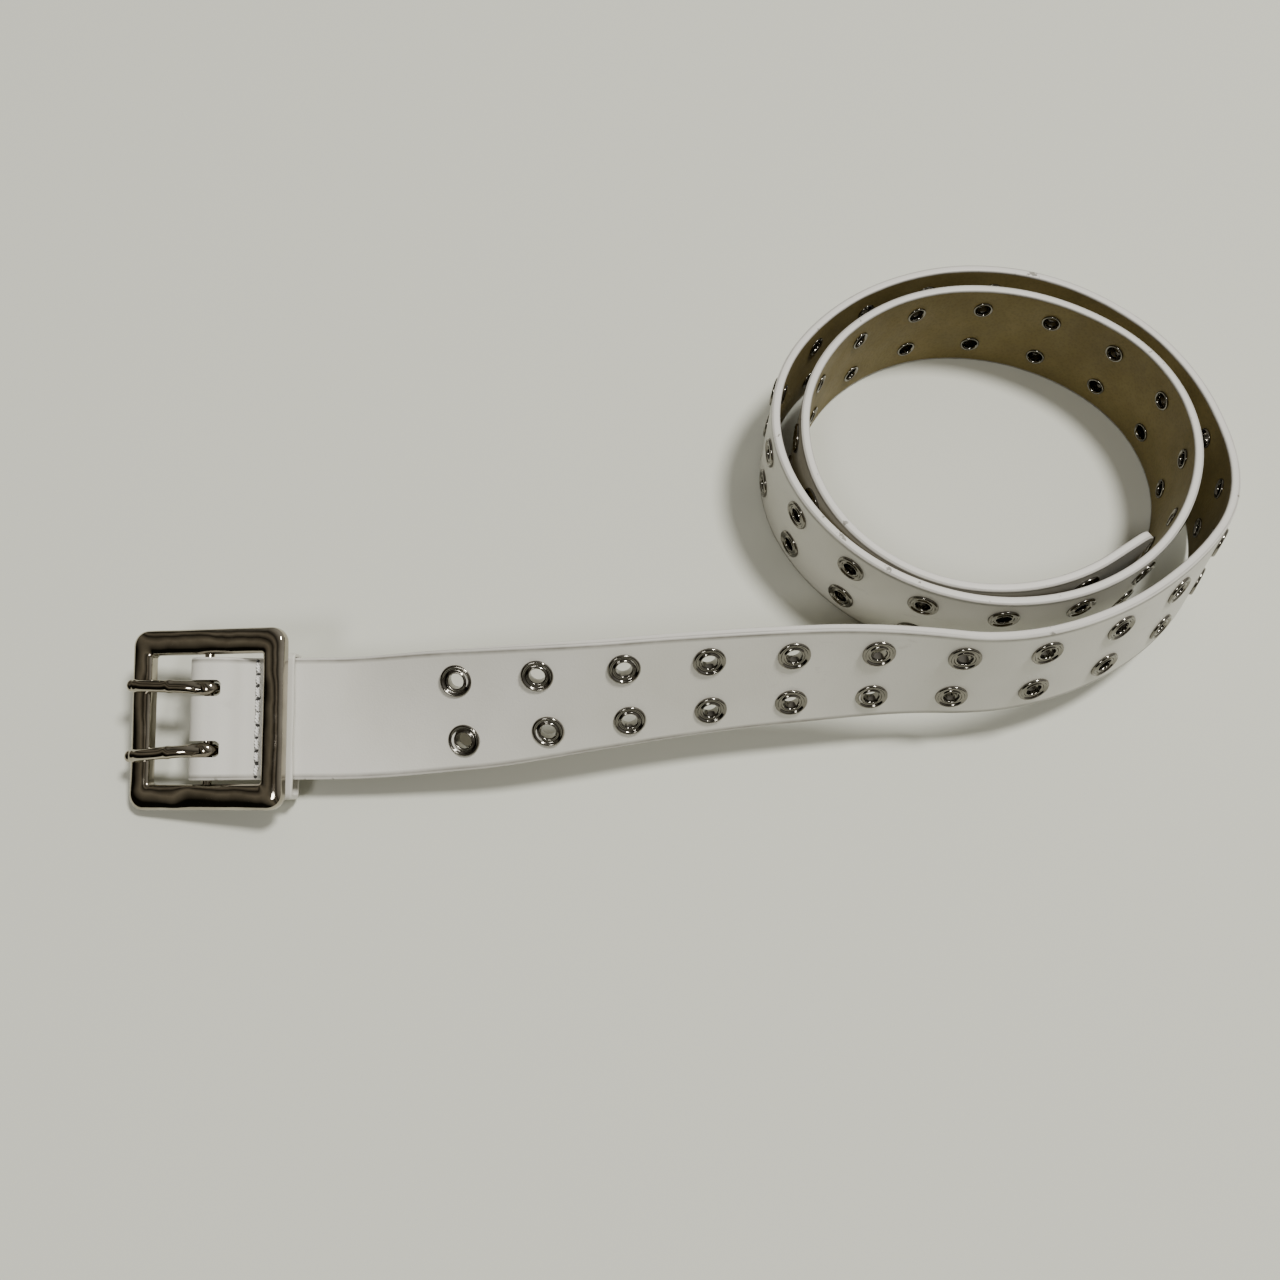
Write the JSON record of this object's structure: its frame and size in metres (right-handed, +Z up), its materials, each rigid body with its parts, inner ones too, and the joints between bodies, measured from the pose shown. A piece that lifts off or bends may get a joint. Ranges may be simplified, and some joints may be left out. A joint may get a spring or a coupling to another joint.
{
  "type": "eyelet belt",
  "caption": "Coiled white strap belt with two rows of metal eyelets, a centre-bar frame buckle with two prongs, and a sliding keeper.",
  "frame": {"origin": "bottom centre of the bounding box, on the surface the coil stands on", "axes": "+X from the buckle towards the coil, +Y to the back, +Z up"},
  "size_m": [0.3634, 0.1962, 0.0531],
  "materials": {
    "face_leather": "white coated faux leather, fine grain, semi-matte",
    "core_sheet": "bonded filler sheet, white painted edges",
    "lining": "olive-tan lining, matte",
    "eyelet_metal": "polished dark nickel",
    "buckle_metal": "polished gunmetal",
    "thread": "white twisted sewing thread",
    "keeper_leather": "white coated faux leather"
  },
  "bodies": {
    "strap": {"strap_face": "face_leather", "strap_core": "core_sheet", "strap_lining": "lining", "eyelets_upper_row": "eyelet_metal", "eyelets_lower_row": "eyelet_metal", "fold_stitching": "thread"},
    "buckle": {"buckle_frame": "buckle_metal", "centre_bar": "buckle_metal"},
    "prong_a": {"prong_upper": "buckle_metal"},
    "prong_b": {"prong_lower": "buckle_metal"},
    "keeper": {"keeper_loop": "keeper_leather", "keeper_staple": "eyelet_metal"}
  },
  "joints": [
    {"name": "buckle_turn", "type": "hinge", "parent": "strap", "child": "buckle", "pos_m": [-0.15353, -0.06947, 0.0173], "axis": [0, -0.9397, -0.342], "range_deg": [0, 100]},
    {"name": "prong_a_turn", "type": "hinge", "parent": "buckle", "child": "prong_a", "pos_m": [-0.15353, -0.06947, 0.0173], "axis": [0, 0.9397, 0.342], "range_deg": [0, 85]},
    {"name": "prong_b_turn", "type": "hinge", "parent": "buckle", "child": "prong_b", "pos_m": [-0.15353, -0.06947, 0.0173], "axis": [0, 0.9397, 0.342], "range_deg": [0, 85]},
    {"name": "keeper_slide", "type": "slide", "parent": "strap", "child": "keeper", "axis": [1, 0, 0], "range_m": [0, 0.01]}
  ]
}
